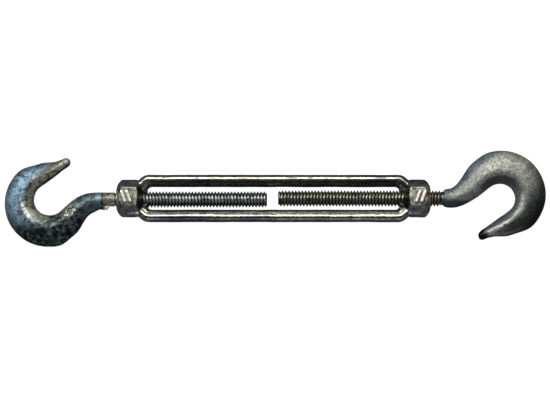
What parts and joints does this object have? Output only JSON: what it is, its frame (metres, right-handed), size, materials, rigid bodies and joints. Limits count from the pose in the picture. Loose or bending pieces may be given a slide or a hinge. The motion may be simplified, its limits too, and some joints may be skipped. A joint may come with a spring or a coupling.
{
  "type": "hook and hook turnbuckle",
  "caption": "Open-body rigging turnbuckle: a forged frame with tapped hexagonal hubs draws together two threaded hooks, one right-hand and one left-hand, to tension wire rope or chain.",
  "frame": {"origin": "centre of the body on its long axis, midway between the two hubs", "axes": "+X along the body's long axis towards the left-hand-thread hook; +Y in the plane of the hooks, towards the right-hand-thread hook's open side; +Z square to the plane of the hooks, out of the hub flats that carry the raised thread-hand marks"},
  "size_m": [0.2104, 0.0377, 0.0134],
  "materials": {
    "body_forging": "drop forged, hot-dip galvanised and weathered dark",
    "right_hand_hook_forging": "drop forged, galvanised, blue-grey with dark pits",
    "left_hand_hook_forging": "drop forged, galvanised, smooth olive-grey"
  },
  "bodies": {
    "body": {"turnbuckle_body": "body_forging"},
    "right_hand_shank": {"right_hand_shank_core": "right_hand_hook_forging"},
    "right_hand_hook": {"right_hand_hook": "right_hand_hook_forging"},
    "left_hand_shank": {"left_hand_shank_core": "left_hand_hook_forging"},
    "left_hand_hook": {"left_hand_hook": "left_hand_hook_forging"}
  },
  "joints": [
    {"name": "right_hand_travel", "type": "slide", "parent": "body", "child": "right_hand_shank", "axis": [-1, 0, 0], "range_m": [0, 0.04573]},
    {"name": "right_hand_turn", "type": "hinge", "parent": "right_hand_shank", "child": "right_hand_hook", "pos_m": [-0.055, -0.0004, 0], "axis": [-1, 0, 0], "range_deg": [0, 12960]},
    {"name": "left_hand_travel", "type": "slide", "parent": "body", "child": "left_hand_shank", "axis": [1, 0, 0], "range_m": [-0.00382, 0.04573]},
    {"name": "left_hand_turn", "type": "hinge", "parent": "left_hand_shank", "child": "left_hand_hook", "pos_m": [0.055, 0, 0], "axis": [-1, 0, 0], "range_deg": [-1080, 12960]}
  ],
  "couplings": [
    {"joint": "right_hand_travel", "follows": "right_hand_turn", "m_per_rad": 0.00020213},
    {"joint": "left_hand_travel", "follows": "left_hand_turn", "m_per_rad": 0.00020213}
  ]
}
